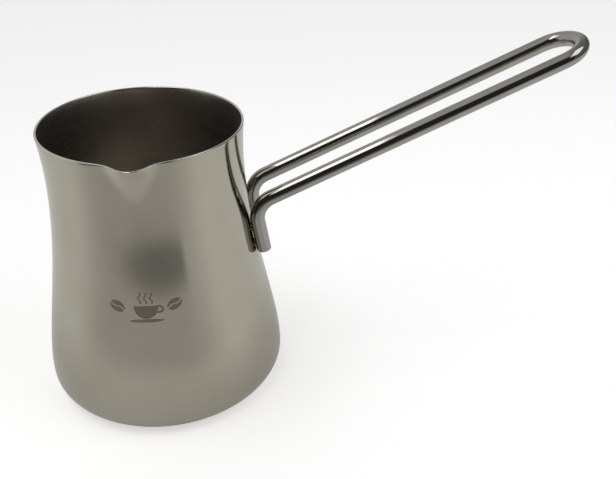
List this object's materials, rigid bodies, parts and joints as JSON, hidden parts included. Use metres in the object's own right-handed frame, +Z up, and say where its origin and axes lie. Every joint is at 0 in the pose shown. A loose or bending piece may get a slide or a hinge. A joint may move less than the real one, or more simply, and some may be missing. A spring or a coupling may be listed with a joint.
{
  "type": "turkish coffee pot",
  "caption": "Small bell-shaped steel coffee pot with a pressed pour lip at the side and a long rising handle bent from round rod and welded to the wall",
  "frame": {"origin": "centre of the flat underside, on the pot's own axis", "axes": "+Z up along the pot's axis, +X from the pot's axis towards the end of the handle, +Y to the left of someone who looks along the handle, so the pour lip is on the -Y side"},
  "size_m": [0.1871, 0.0842, 0.1163],
  "materials": {
    "pot_steel": "satin polish",
    "rod_steel": "bright polish",
    "weld_steel": "heat-tinted matt"
  },
  "bodies": {
    "root": {"pot_body": "pot_steel", "loop_handle": "rod_steel", "handle_welds": "weld_steel"}
  },
  "joints": []
}
